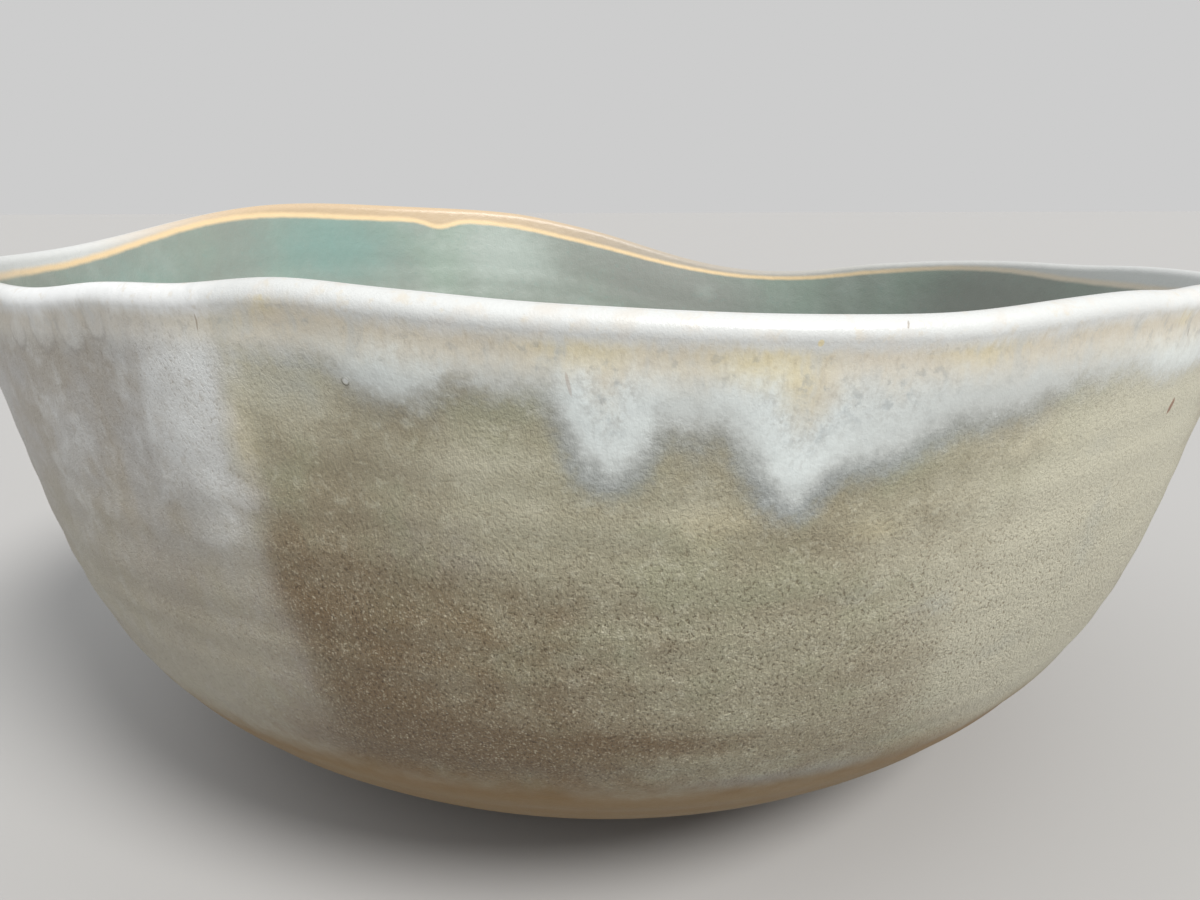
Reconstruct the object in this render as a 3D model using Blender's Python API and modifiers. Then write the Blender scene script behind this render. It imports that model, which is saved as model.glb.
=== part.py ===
"""Stoneware serving bowl: a wheel-thrown form whose wall was pushed into a soft, wavy rim.

Metres, +Z up. The origin is on the table, on the axis that the bowl was thrown about.
The side that faces a person at the table's near edge is -Y.
"""
import math

import bmesh
import bpy
from mathutils import Vector
from mathutils.geometry import interpolate_bezier

# Thrown form, before the rim was altered
RIM_RADIUS = 0.140          # outer wall at the lip
RIM_HEIGHT = 0.1165         # crest of the lip above the table
LIP_RADIUS = 0.0026         # half the thickness of the rounded lip
RIM_SLOPE = 77.5            # degrees, how steeply the wall meets the lip
RIM_SWEEP = 0.059           # how far that slope holds down the wall
BELLY_SLOPE = 28.0          # degrees, how steeply the belly leaves the foot
BELLY_SWEEP = 0.070         # how far that slope holds up the wall
FOOT_RADIUS = 0.072         # outer edge of the trimmed foot
FOOT_LIFT = 0.0020          # height of that edge above the table
FOOT_CHAMFER = 0.0015       # how far the edge is cut in, down to the table
FOOT_RING_WIDTH = 0.009     # flat ring that the bowl stands on
RECESS_DEPTH = 0.0025       # underside inside the ring
FLOOR_THICKNESS = 0.0065    # floor above the recess
KNEE_RISE = 0.0030          # how far the floor has risen where the wall starts

# Altered rim: soft waves around the bowl, each as (lobes, height of a crest, azimuth of a crest).
# Azimuths are in degrees from +X towards +Y. A single lobe is a lean of the whole rim.
RISE_WAVES = (
    (1, 0.0060, 180.0),
    (2, 0.0057, 132.0),
    (3, 0.0036, 6.0),
    (4, 0.0012, 25.0),
    (5, 0.0009, 28.0),
    (6, 0.0007, 28.0),
    (7, 0.0009, -6.0),
)
# The same for the plan of the rim: how far the wall bulges outwards.
PLAN_WAVES = (
    (2, 0.0027, -17.0),
    (3, 0.0011, -58.0),
    (4, 0.0022, 0.0),
    (5, 0.0015, -16.0),
)
WAVE_START = 0.010          # height below which the thrown form stays true
PLAN_FADE = 1.4             # power by which the plan's waves grow up the wall

# Facets
TURN_STEPS = 88             # around the axis
WALL_POINTS = 18            # up each side of the wall
LIP_POINTS = 6              # over the lip
KNEE_POINTS = 5             # from the floor into the wall

GLAZE_COLOUR = (0.36, 0.34, 0.27, 1.0)
GLAZE_ROUGHNESS = 0.5

MERGE_DISTANCE = 0.00001
SHARP_ANGLE = math.radians(40.0)


def heading(degrees):
    """Unit vector in the profile plane (outwards, up) at an angle above the table."""
    angle = math.radians(degrees)
    return Vector((math.cos(angle), math.sin(angle)))


def outer_wall():
    """Points up the outside, from the foot to the lip, and the lip's centre."""
    foot = Vector((FOOT_RADIUS, FOOT_LIFT))
    lip_centre = Vector((RIM_RADIUS - LIP_RADIUS, RIM_HEIGHT - LIP_RADIUS))
    lip = lip_centre + LIP_RADIUS * heading(RIM_SLOPE - 90.0)
    belly_handle = foot + BELLY_SWEEP * heading(BELLY_SLOPE)
    rim_handle = lip - RIM_SWEEP * heading(RIM_SLOPE)
    return interpolate_bezier(foot, belly_handle, rim_handle, lip, WALL_POINTS), lip_centre


def inner_wall(outer):
    """Points up the inside: the outer wall, set in by a thickness that tapers to the lip."""
    floor_height = RECESS_DEPTH + FLOOR_THICKNESS
    lip_thickness = 2 * LIP_RADIUS
    foot_thickness = (floor_height + KNEE_RISE - FOOT_LIFT) / heading(BELLY_SLOPE).x
    points = []
    for index, point in enumerate(outer):
        before = outer[max(index - 1, 0)]
        after = outer[min(index + 1, len(outer) - 1)]
        along = (after - before).normalized()
        if index == 0:
            along = heading(BELLY_SLOPE)
        if index == len(outer) - 1:
            along = heading(RIM_SLOPE)
        inwards = Vector((-along.y, along.x))
        down = 1 - index / (len(outer) - 1)
        thickness = lip_thickness + (foot_thickness - lip_thickness) * down ** 2
        points.append(point + thickness * inwards)
    return points


def knee(wall_start):
    """Points along the inside from the flat floor up to the start of the wall."""
    floor_height = RECESS_DEPTH + FLOOR_THICKNESS
    drop = wall_start.y - floor_height
    upper_handle = wall_start - heading(BELLY_SLOPE) * (drop / heading(BELLY_SLOPE).y)
    lower_handle = Vector((upper_handle.x - 2 * drop, floor_height))
    floor_edge = Vector((lower_handle.x - 4 * drop, floor_height))
    return interpolate_bezier(floor_edge, lower_handle, upper_handle, wall_start, KNEE_POINTS)


def lip(centre):
    """Points over the rounded lip, from the inside to the outside, without its ends."""
    points = []
    for index in range(1, LIP_POINTS):
        turn = 90.0 + RIM_SLOPE - 180.0 * index / LIP_POINTS
        points.append(centre + LIP_RADIUS * heading(turn))
    return points


def underside():
    """Points from the foot's outer edge, under its ring and recess, to the axis."""
    ring_outside = FOOT_RADIUS - FOOT_CHAMFER
    ring_inside = ring_outside - FOOT_RING_WIDTH
    return [
        Vector((ring_outside, 0.0)),
        Vector((ring_inside, 0.0)),
        Vector((ring_inside - RECESS_DEPTH, RECESS_DEPTH)),
        Vector((0.0, RECESS_DEPTH)),
    ]


def profile_points():
    """The whole section, from the axis on the floor, over the lip, to the axis underneath."""
    outer, lip_centre = outer_wall()
    inner = inner_wall(outer)
    floor_centre = Vector((0.0, RECESS_DEPTH + FLOOR_THICKNESS))
    points = [floor_centre]
    points += knee(inner[0])[:-1]
    points += inner
    points += lip(lip_centre)
    points += reversed(outer)
    points += underside()
    return points


def wave(waves, azimuth):
    """Sum of the waves at an azimuth in radians."""
    return sum(crest * math.cos(lobes * (azimuth - math.radians(at))) for lobes, crest, at in waves)


def alter(point):
    """Move a point of the thrown form as the potter's hands moved the soft wall."""
    azimuth = math.atan2(point.y, point.x)
    climb = max(0.0, (point.z - WAVE_START) / (RIM_HEIGHT - WAVE_START))
    bulge = climb ** PLAN_FADE * wave(PLAN_WAVES, azimuth) / RIM_RADIUS
    point.x *= 1 + bulge
    point.y *= 1 + bulge
    point.z += climb * wave(RISE_WAVES, azimuth)


def glaze_material():
    material = bpy.data.materials.new("sage_glaze")
    material.use_nodes = True
    shader = material.node_tree.nodes["Principled BSDF"]
    shader.inputs["Base Color"].default_value = GLAZE_COLOUR
    shader.inputs["Roughness"].default_value = GLAZE_ROUGHNESS
    shader.inputs["Metallic"].default_value = 0.0
    material.diffuse_color = GLAZE_COLOUR
    return material


def thrown_form(collection):
    """The true, round bowl: its section turned about the axis."""
    points = profile_points()
    section = bpy.data.meshes.new("section")
    edges = [(index, index + 1) for index in range(len(points) - 1)]
    section.from_pydata([(point.x, 0.0, point.y) for point in points], edges, [])
    thrown = bpy.data.objects.new("thrown_form", section)
    collection.objects.link(thrown)
    turn = thrown.modifiers.new("turn", "SCREW")
    turn.axis = "Z"
    turn.angle = 2 * math.pi
    turn.steps = TURN_STEPS
    turn.render_steps = TURN_STEPS
    turn.use_merge_vertices = True
    turn.merge_threshold = MERGE_DISTANCE
    return thrown


def make_bowl(collection):
    """The finished bowl, one piece of fired clay."""
    thrown = thrown_form(collection)
    bpy.context.view_layer.update()
    evaluated = thrown.evaluated_get(bpy.context.evaluated_depsgraph_get())
    mesh = bpy.data.meshes.new_from_object(evaluated)
    bpy.data.objects.remove(thrown, do_unlink=True)
    mesh.name = "bowl"

    shape = bmesh.new()
    shape.from_mesh(mesh)
    bmesh.ops.remove_doubles(shape, verts=shape.verts, dist=MERGE_DISTANCE)
    for vertex in shape.verts:
        alter(vertex.co)
    shape.to_mesh(mesh)
    shape.free()

    mesh.materials.clear()
    mesh.materials.append(glaze_material())
    mesh.shade_smooth()
    mesh.set_sharp_from_angle(angle=SHARP_ANGLE)
    bowl = bpy.data.objects.new("bowl", mesh)
    collection.objects.link(bowl)
    return bowl


def main():
    for leftover in list(bpy.data.objects):
        bpy.data.objects.remove(leftover, do_unlink=True)
    collection = bpy.data.collections.new("serving_bowl")
    bpy.context.scene.collection.children.link(collection)
    make_bowl(collection)


main()
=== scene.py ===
import math

import bpy
import numpy as np
from mathutils import Euler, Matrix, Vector


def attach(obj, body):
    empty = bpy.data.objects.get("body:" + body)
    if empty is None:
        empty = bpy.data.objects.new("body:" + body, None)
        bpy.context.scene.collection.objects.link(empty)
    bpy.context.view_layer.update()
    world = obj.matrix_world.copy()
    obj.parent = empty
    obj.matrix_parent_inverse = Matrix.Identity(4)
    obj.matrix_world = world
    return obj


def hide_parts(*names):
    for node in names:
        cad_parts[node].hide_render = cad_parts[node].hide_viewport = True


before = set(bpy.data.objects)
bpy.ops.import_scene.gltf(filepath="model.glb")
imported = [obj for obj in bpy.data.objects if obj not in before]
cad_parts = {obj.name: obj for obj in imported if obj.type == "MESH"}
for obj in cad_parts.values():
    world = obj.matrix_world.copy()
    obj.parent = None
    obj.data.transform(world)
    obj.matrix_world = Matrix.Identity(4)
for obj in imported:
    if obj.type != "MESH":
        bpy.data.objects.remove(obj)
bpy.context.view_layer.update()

MM = 0.001

# Thrown form, in millimetres and degrees, as the solid has it
RIM_RADIUS = 140.0          # outer wall at the lip
RIM_HEIGHT = 116.5          # crest of the lip above the table
LIP_RADIUS = 2.6            # half the thickness of the rounded lip
RIM_SLOPE = 77.5            # how steeply the wall meets the lip
RIM_SWEEP = 59.0            # how far that slope holds down the wall
BELLY_SLOPE = 28.0          # how steeply the belly leaves the foot
BELLY_SWEEP = 70.0          # how far that slope holds up the wall
FOOT_RADIUS = 72.0          # outer edge of the trimmed foot
FOOT_LIFT = 2.0             # height of that edge above the table
FOOT_CHAMFER = 1.5          # how far the edge is cut in, down to the table
FOOT_RING_WIDTH = 9.0       # flat ring that the bowl stands on
RECESS_DEPTH = 2.5          # underside inside the ring
FLOOR_THICKNESS = 6.5       # floor above the recess
KNEE_RISE = 3.0             # how far the floor has risen where the wall starts
WAVE_START = 10.0           # height below which the thrown form stays true
PLAN_FADE = 1.4             # power by which the plan's waves grow up the wall
# Soft waves of the altered rim, in height and in plan: (lobes, height of a crest, azimuth of a crest).
# Azimuths are in degrees from +X towards +Y, here and in all tables.
RISE_WAVES = (
    (1, 6.0, 180), (2, 5.7, 132), (3, 3.6, 6), (4, 1.2, 25), (5, 0.9, 28), (6, 0.7, 28), (7, 0.9, -6),
)
PLAN_WAVES = ((2, 2.7, -17), (3, 1.1, -58), (4, 2.2, 0), (5, 1.5, -16))

# Mesh of the dressed bowl, in points along its section
STEPS = 432                 # around the axis
OUTER_POINTS = 98
INNER_POINTS = 60
LIP_POINTS = 14
KNEE_POINTS = 14
FLOOR_POINTS = 18
RECESS_POINTS = 12
FOOT_EDGE_POINTS = 5
AXIS_RADIUS = 1.5           # a fan closes the floor and the underside within it
# Softened edges under the foot, as offsets outwards and up from each edge
FOOT_EDGE_HANDLES = ((-0.1, -1.0), (0.7, 0.0))
RING_EDGE = ((0.6, 0.0), (0.0, 0.05), (-0.5, 0.4))
RECESS_EDGE = ((0.5, -0.4), (0.0, 0.0))

# Relief on the wall, in millimetres
THROWING_PITCH = 8.5        # one turn of the potter's fingers to the next
THROWING_OUTSIDE = 0.07
THROWING_INSIDE = 0.10
THROWING_START = (9.0, 22.0)        # distances from the crest over which the lines come in
THROWING_END = (96.0, 108.0)        # and over which they end on the outside
THROWING_SWELL = 0.5        # how much stronger or fainter they are in places
THROWING_SWELL_DROP = 11.0
THROWING_WANDER = 0.7       # how far they stray from an even spiral, in radians
THROWING_WANDER_PACE = 0.37
GLAZE_THICKNESS = 0.22      # how far the runny glaze stands out
GLAZE_SHOULDER = (-0.6, 4.0)        # distances from its edge over which it thickens
GLAZE_THINNING = (4.0, 12.0)        # drops over which it comes in below the lip
LIP_GROOVE = 0.35           # shallow groove that leaves a bead at the lip
LIP_GROOVE_DROP = 6.6
LIP_GROOVE_HALF = 2.0
LIP_GROOVE_EVEN = 0.7       # share of it all around
LIP_GROOVE_SWING = 0.5      # share that is added at its deepest azimuth and taken off opposite
LIP_GROOVE_DEEPEST = -75.0
LIP_EASE = 0.18             # how far the smooth lip stays within the faceted one
LIP_EASE_REACH = 6.0
RELIEF_FADE = 20.0          # radius within which the floor is flat
DENT_START = (3.0, 14.0)    # drops over which dents come in
# Dents and swellings left by the hands: (azimuth, drop below the crest, outwards, width, height)
DENTS = (
    (-124.5, 26.0, -0.95, 13.0, 26.0), (-114.5, 19.0, 0.70, 13.0, 18.0), (-104.5, 26.0, -0.6, 10.0, 22.0),
    (-62.0, 34.0, 0.5, 26.0, 22.0), (-20.0, 30.0, -0.8, 20.0, 22.0), (28.0, 24.0, 0.7, 18.0, 24.0),
    (75.0, 22.0, -0.8, 22.0, 26.0), (128.0, 30.0, 0.8, 24.0, 24.0), (172.0, 26.0, -0.7, 18.0, 22.0),
)
# Small unevenness of the hand-finished lip: (azimuth, rise in millimetres, half width in degrees)
LIP_RISES = (
    (-124.0, 0.75, 6.0), (-115.0, -0.15, 3.0), (-107.0, 0.65, 4.5), (-94.0, -0.20, 4.0), (-71.5, -0.40, 5.5),
    (-52.0, -0.55, 4.0), (-30.0, 0.45, 6.0), (8.0, -0.50, 7.0), (44.0, 0.40, 6.0), (96.0, -0.40, 6.0),
)
LIP_RISES_START = (0.75, 1.0)       # shares of the way up the wall over which they come in

# Runny white glaze: its lower edge is RUN_DEPTH below the crest, and lower in each run
RUN_DEPTH = 10.5
RUN_WANDER = ((5, 0.8, 0.6), (11, 0.5, 2.0))    # waves of that edge: (lobes, height, phase)
RUN_START = 2.0             # how far above that depth a run starts
RUN_SHARPNESS = 0.7         # how fast a run ends sideways
RUN_SLANT = 0.8             # how much a slanting edge narrows the soft steps along it
RUN_SLANT_STEP = 0.6        # degrees either way over which the slant is measured
LEAST_WEIGHT = 1e-6         # keeps averages of runs finite where none is near
RUN_WHITENESS = 0.20        # between runs
# Runs: (azimuth, drop of the tip, half width before and after it in degrees, roundness, whiteness,
# strength of the blue-grey halo under it)
RUNS = (
    (-127.5, 11.0, 2.2, 2.2, 2.0, 0.30, 0.00), (-121.0, 11.0, 2.4, 2.4, 2.0, 0.30, 0.00),
    (-107.5, 11.6, 5.0, 5.0, 2.0, 0.22, 0.05), (-100.4, 15.6, 3.9, 3.2, 3.2, 0.80, 0.35),
    (-95.0, 13.3, 4.4, 4.0, 2.0, 0.35, 0.20), (-89.7, 22.6, 2.6, 2.7, 3.0, 1.00, 0.95),
    (-85.6, 16.6, 3.4, 3.4, 2.0, 0.40, 0.40), (-80.4, 26.6, 3.5, 4.5, 1.5, 1.00, 1.00),
    (-77.0, 21.6, 4.0, 7.0, 1.6, 0.45, 0.90), (-70.0, 16.4, 5.0, 9.0, 2.0, 0.22, 0.70),
    (-60.0, 13.8, 6.0, 7.0, 2.0, 0.26, 0.15), (-50.0, 16.0, 9.0, 8.0, 2.2, 0.85, 0.05),
    (-31.0, 23.0, 3.4, 4.2, 3.0, 0.95, 0.90), (-20.0, 17.5, 6.0, 8.0, 2.2, 0.60, 0.50),
    (-3.0, 20.5, 4.0, 3.4, 2.8, 0.85, 0.70), (12.0, 13.5, 8.0, 8.0, 2.0, 0.45, 0.10),
    (27.0, 25.0, 3.2, 3.4, 3.4, 1.00, 0.95), (35.5, 19.0, 4.5, 7.0, 2.2, 0.60, 0.60),
    (57.0, 15.0, 7.0, 7.0, 2.0, 0.50, 0.20), (74.0, 21.5, 4.2, 3.4, 3.2, 0.90, 0.85),
    (84.0, 16.0, 5.0, 8.0, 2.2, 0.55, 0.40), (103.0, 24.0, 3.2, 3.6, 3.2, 0.95, 0.90),
    (113.0, 17.0, 5.0, 6.0, 2.0, 0.55, 0.50), (133.0, 13.5, 8.0, 7.0, 2.0, 0.45, 0.10),
    (146.0, 19.5, 3.8, 4.4, 3.0, 0.85, 0.60), (158.0, 14.0, 6.0, 8.0, 2.0, 0.45, 0.15),
    (-168.0, 18.0, 4.5, 3.6, 2.4, 0.55, 0.10), (-148.0, 12.5, 8.0, 6.0, 2.0, 0.40, 0.00),
)
WHITENESS = 5               # columns of that table
HALO = 6

# A second dip of greyer glaze covers the wall between these azimuths, nearly to the foot
DIP_START = -200.0
DIP_END = -111.0
DIP_FLOOR = 80.0            # drop at which it stops
DIP_SPREAD = 4.5            # how much wider it is at the bottom, on each side
DIP_SPREADING = (36.0, 70.0)        # drops over which it widens
BARE_START = 80.0           # drop at which the smooth tan band above the foot starts
GLAZE_END = (-4.0, -0.5)    # drops, from the foot's outer edge on, over which bare clay comes in

# Strength of the orange-peel surface
PEEL_HIGH = 0.55            # high on the wall
PEEL_LOW = 1.20             # low on the wall
PEEL_LOWERING = (18.0, 58.0)        # drops between the two
PEEL_ON_RUNS = 0.25         # share of it on the runny glaze
PEEL_RUN_EDGE = (-2.0, 3.0)         # distances from that glaze's edge
PEEL_LOST_ON_DIP = 0.30     # share that is lost
PEEL_DIP_EDGE = (-5.0, 5.0)         # distances from the dip's edge
PEEL_LOST_ON_FOOT = 0.80
PEEL_FOOT_DROPS = (BARE_START - 5.0, BARE_START + 6.0)
PEEL_INSIDE = 0.20

# Glazes of the lip. Drops and reaches are in millimetres, half widths in degrees.
LIP_REACH = 5.6             # how far the white lip reaches down the outside
# Where it reaches less far: (azimuth, by how much, half width)
LIP_NOTCHES = ((-106.5, 1.5, 4.0), (-124.0, 0.8, 9.0), (-52.0, 0.8, 8.0), (-12.0, 1.2, 6.0), (50.0, 1.2, 7.0))
LIP_TAN = ((66.0, 1.0, 26.0),)      # where the lip is tan: (azimuth, strength, half width)
LIP_WARM_SIDE = 118.0       # azimuth at which the lip is warmest; it is whitest opposite
INNER_BAND = 6.2            # how far the cream glaze of the lip reaches down the inside
INNER_BAND_WAVES = ((3, 1.2, 1.0), (8, 0.6, 0.0))       # (lobes, height, phase)
INNER_BAND_DRIPS = ((118.0, 2.4, 3.0),)                 # (azimuth, height, half width)
# Short rounded tongues of the dip with a thin dark edge: (azimuth, drop of the middle, length, width)
TONGUES = ((-130.3, 7.6, 8.4, 9.6), (-126.2, 8.0, 8.6, 8.6), (-122.9, 6.8, 6.8, 6.8), (-134.5, 8.6, 6.0, 7.0))
TONGUE_RIM = 0.5            # width of that edge
TONGUE_RAGGED = (0.6, 0.5)  # of the edge and of the tongue

# Soft tints: (azimuth, drop below the crest, strength, half width, half height), in millimetres apart
# from the azimuth
OUTSIDE_TINTS = {
    "brown": (
        (-107.5, 48.0, 0.32, 10.0, 17.0), (-105.0, 64.0, 0.26, 14.0, 12.0), (-100.5, 73.0, 0.50, 27.0, 9.0),
        (-88.0, 80.0, 0.34, 24.0, 5.5), (-84.5, 67.0, 0.52, 15.0, 3.4), (-99.5, 56.0, 0.56, 36.0, 20.0),
        (-72.0, 72.0, 0.30, 20.0, 5.0), (-92.0, 69.0, 0.34, 14.0, 6.0), (-122.5, 47.0, 0.30, 14.0, 13.0),
        (-109.8, 41.0, 0.42, 5.0, 10.0), (-92.5, 42.0, 0.22, 8.0, 4.0), (-100.5, 44.0, 0.24, 9.0, 9.0),
        (-112.0, 76.0, 0.45, 22.0, 7.0), (-30.0, 62.0, 0.50, 30.0, 8.0), (14.0, 66.0, 0.55, 26.0, 9.0),
        (48.0, 58.0, 0.45, 22.0, 14.0), (92.0, 66.0, 0.55, 30.0, 7.0), (140.0, 60.0, 0.50, 24.0, 12.0),
        (-170.0, 66.0, 0.45, 26.0, 9.0), (-140.0, 70.0, 0.40, 30.0, 8.0),
    ),
    "warm": (
        (-110.8, 22.0, 0.70, 3.6, 8.0), (-91.0, 6.6, 0.85, 8.0, 2.8), (-82.5, 7.4, 0.95, 7.5, 3.8),
        (-81.0, 13.0, 0.45, 6.0, 5.0), (-70.5, 6.4, 0.70, 9.0, 2.6), (-107.8, 3.8, 1.00, 2.4, 1.2),
        (-51.8, 5.3, 1.00, 2.6, 1.6), (-113.0, 6.6, 0.45, 14.0, 2.2), (-84.5, 29.0, 0.55, 7.0, 4.0),
        (-75.0, 30.5, 0.45, 7.0, 2.4), (-98.5, 47.0, 0.35, 18.0, 12.0), (-125.0, 36.0, 0.40, 5.0, 14.0),
        (-64.0, 22.0, 0.30, 14.0, 4.0), (-36.0, 7.0, 0.90, 9.0, 3.0), (-14.0, 7.5, 0.90, 10.0, 3.4),
        (12.0, 7.0, 0.80, 9.0, 3.0), (34.0, 7.6, 0.90, 11.0, 3.4), (52.0, 6.6, 0.80, 8.0, 2.6),
        (80.0, 7.4, 0.90, 10.0, 3.2), (108.0, 7.0, 0.80, 9.0, 3.0), (140.0, 7.2, 0.90, 10.0, 3.2),
        (165.0, 6.4, 0.70, 8.0, 2.6), (-10.0, 50.0, 0.40, 20.0, 10.0), (70.0, 50.0, 0.40, 20.0, 10.0),
    ),
    "cool": (
        (-106.5, 13.0, 0.50, 8.0, 6.0), (-85.5, 19.0, 0.35, 5.0, 5.0), (-75.5, 41.0, 0.35, 5.0, 3.0),
        (-69.8, 45.0, 0.40, 7.0, 2.6), (-76.0, 80.0, 0.75, 26.0, 3.6), (-99.0, 36.0, 0.35, 14.0, 5.0),
        (-55.0, 40.0, 0.35, 8.0, 10.0), (-57.5, 24.0, 0.30, 6.0, 3.0), (-62.0, 58.0, 0.35, 12.0, 3.0),
        (-16.0, 44.0, 0.40, 12.0, 4.0), (24.0, 48.0, 0.40, 14.0, 4.0), (66.0, 42.0, 0.40, 10.0, 5.0),
        (110.0, 46.0, 0.40, 16.0, 4.0),
    ),
    "pale": (
        # The pale tint at -115.6 is whiter glaze on the left swelling, with a painted highlight on it.
        (-106.0, 13.5, 0.80, 10.0, 8.0), (-113.0, 9.0, 0.45, 8.0, 7.0), (-115.6, 20.0, 1.00, 13.0, 12.0),
        # The pale tints at azimuths -53 and -48 are painted light: they make the side towards the key lamp
        # paler, up to its right edge.
        (-127.0, 1.5, 1.00, 36.0, 5.0), (-53.0, 52.0, 0.80, 34.0, 32.0), (-113.5, 34.0, 0.35, 6.0, 10.0),
        (-110.8, 56.0, 0.40, 4.0, 20.0), (-132.0, 26.0, 0.40, 9.0, 22.0), (-53.0, 41.0, 1.00, 44.0, 38.0),
        (-96.5, 30.0, 0.45, 18.0, 9.0), (-85.5, 27.0, 0.50, 8.0, 6.0), (-48.0, 16.0, 0.60, 14.0, 7.0),
        (-96.0, 20.5, 0.40, 15.0, 6.0), (-73.0, 36.0, 0.20, 9.0, 8.0), (-172.0, 30.0, 0.60, 9.0, 26.0),
        (-150.0, 34.0, 0.50, 7.0, 30.0), (152.0, 40.0, 0.60, 8.0, 30.0), (4.0, 36.0, 0.45, 26.0, 22.0),
        (104.0, 32.0, 0.45, 24.0, 20.0),
    ),
}
INSIDE_TINTS = {
    "teal": (
        (137.0, 15.0, 0.85, 34.0, 14.0), (174.0, 20.0, 0.50, 34.0, 18.0), (60.0, 40.0, 0.55, 34.0, 18.0),
        (-20.0, 24.0, 0.75, 34.0, 18.0), (-90.0, 26.0, 0.85, 38.0, 18.0), (-140.0, 34.0, 0.65, 34.0, 20.0),
    ),
    "pale_inside": (
        (107.0, 16.0, 0.95, 22.0, 14.0), (155.0, 42.0, 0.60, 30.0, 20.0), (20.0, 50.0, 0.60, 30.0, 20.0),
        (-50.0, 40.0, 0.60, 30.0, 20.0), (-115.0, 52.0, 0.60, 30.0, 20.0), (71.0, 14.0, 0.45, 5.0, 4.0),
    ),
    "grey": (
        # The grey tints at azimuths 78 and 20 are painted shade on the far right of the inside and of its
        # lip.
        (78.0, 16.0, 1.00, 44.0, 18.0), (20.0, 18.0, 0.90, 40.0, 18.0), (-60.0, 22.0, 0.60, 24.0, 16.0),
    ),
}

# Colours, as linear light
LIP_WHITE = (0.500, 0.512, 0.506)
LIP_BRIGHT = (0.640, 0.652, 0.655)
BODY_SAGE = (0.290, 0.272, 0.192)
BODY_OLIVE = (0.235, 0.203, 0.135)
BODY_GREEN = (0.272, 0.272, 0.182)
# Painted light of the orange peel: highlights on its bumps, glints on some of them, shade in its pits
PAINTED_PEEL_HIGHLIGHT = (0.520, 0.485, 0.360)
# Colour of the painted glints
SPARK = (0.660, 0.620, 0.480)
PIT_SHADE = (0.400, 0.340, 0.270)
BODY_PALE = (0.460, 0.444, 0.348)
BROWN = (0.132, 0.079, 0.032)
WHITE_RUN = (0.645, 0.695, 0.690)
RUN_GREY = (0.400, 0.410, 0.395)
RUN_EDGE = (0.230, 0.258, 0.272)
HONEY = (0.550, 0.470, 0.270)
TAN_VEIL = (0.490, 0.435, 0.340)
DIP_GREY = (0.335, 0.326, 0.312)
DIP_PALE = (0.590, 0.608, 0.612)
DIP_WARM = (0.285, 0.250, 0.202)
DIP_LOW = (0.375, 0.338, 0.262)
BARE_TAN = (0.187, 0.101, 0.025)
INSIDE_TEAL = (0.185, 0.285, 0.260)
INSIDE_SAGE = (0.242, 0.302, 0.258)
INSIDE_GREY = (0.218, 0.230, 0.210)
INSIDE_PALE = (0.335, 0.378, 0.350)
LIP_CREAM = (0.455, 0.345, 0.225)
LIP_HONEY = (0.690, 0.520, 0.310)
CLAY = (0.420, 0.310, 0.210)
CHIP_RED = (0.200, 0.090, 0.045)
MARK_DARK = (0.140, 0.125, 0.110)
FLOOR_COLOUR = (0.345, 0.341, 0.337)
ROOM_COLOUR = (0.61, 0.61, 0.61)

# Noises: (size of their features in millimetres, detail, roughness, stretch along x, y and z)
NOISES = {
    "broad": (40.0, 2.0, 0.50, None),
    "cloud": (14.0, 3.0, 0.55, None),
    "blotch": (5.0, 3.0, 0.60, None),
    "mottle": (2.0, 3.0, 0.65, None),
    "grain": (0.8, 2.0, 0.60, None),
    "speck": (0.46, 4.0, 0.72, (1.0, 1.0, 0.75)),
    "streak": (3.2, 3.0, 0.55, (1.0, 1.0, 0.35)),
    "fine_streak": (0.9, 2.0, 0.60, (1.0, 1.0, 0.50)),
    "rings": (5.0, 2.0, 0.50, (0.04, 0.04, 1.0)),
    "fine_peel": (0.46, 3.0, 0.70, (1.0, 1.0, 0.75)),
    "coarse_peel": (3.2, 1.0, 0.50, None),
}
SPARKS_APART = 0.50         # millimetres

# Layers of the glazes, from the bottom up: (field, value from which the layer shows, value at which it
# is full, its share there, its colour). A tint has one number more, how ragged the noise makes it.
BODY_LAYERS = (
    ("broad", 0.36, 0.62, 1.00, BODY_SAGE), ("cloud", 0.48, 0.66, 0.60, BODY_GREEN),
    ("rings", 0.50, 0.72, 0.35, BODY_OLIVE), ("mottle", 0.42, 0.30, 0.30, BODY_OLIVE),
    ("mottle", 0.54, 0.68, 0.35, BODY_PALE), ("pale", 0.10, 1.00, 0.85, BODY_PALE, 0.35),
    ("warm", 0.10, 1.00, 0.45, HONEY, 0.35), ("cool", 0.10, 1.00, 0.80, RUN_EDGE, 0.35),
    ("brown", 0.00, 1.00, 0.85, BROWN, 0.45),
)
DIP_LAYERS = (
    ("cloud", 0.42, 0.62, 0.75, DIP_WARM), ("drop", 30.0, 62.0, 0.75, DIP_LOW),
    ("streak", 0.52, 0.74, 0.12, DIP_PALE), ("blotch", 0.50, 0.68, 0.25, DIP_PALE),
    ("pale", 0.02, 1.20, 0.90, DIP_PALE, 0.45), ("warm", 0.10, 1.00, 0.50, TAN_VEIL, 0.35),
    ("brown", 0.10, 1.00, 0.70, BROWN, 0.35), ("mottle", 0.44, 0.30, 0.30, DIP_WARM),
)
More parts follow.
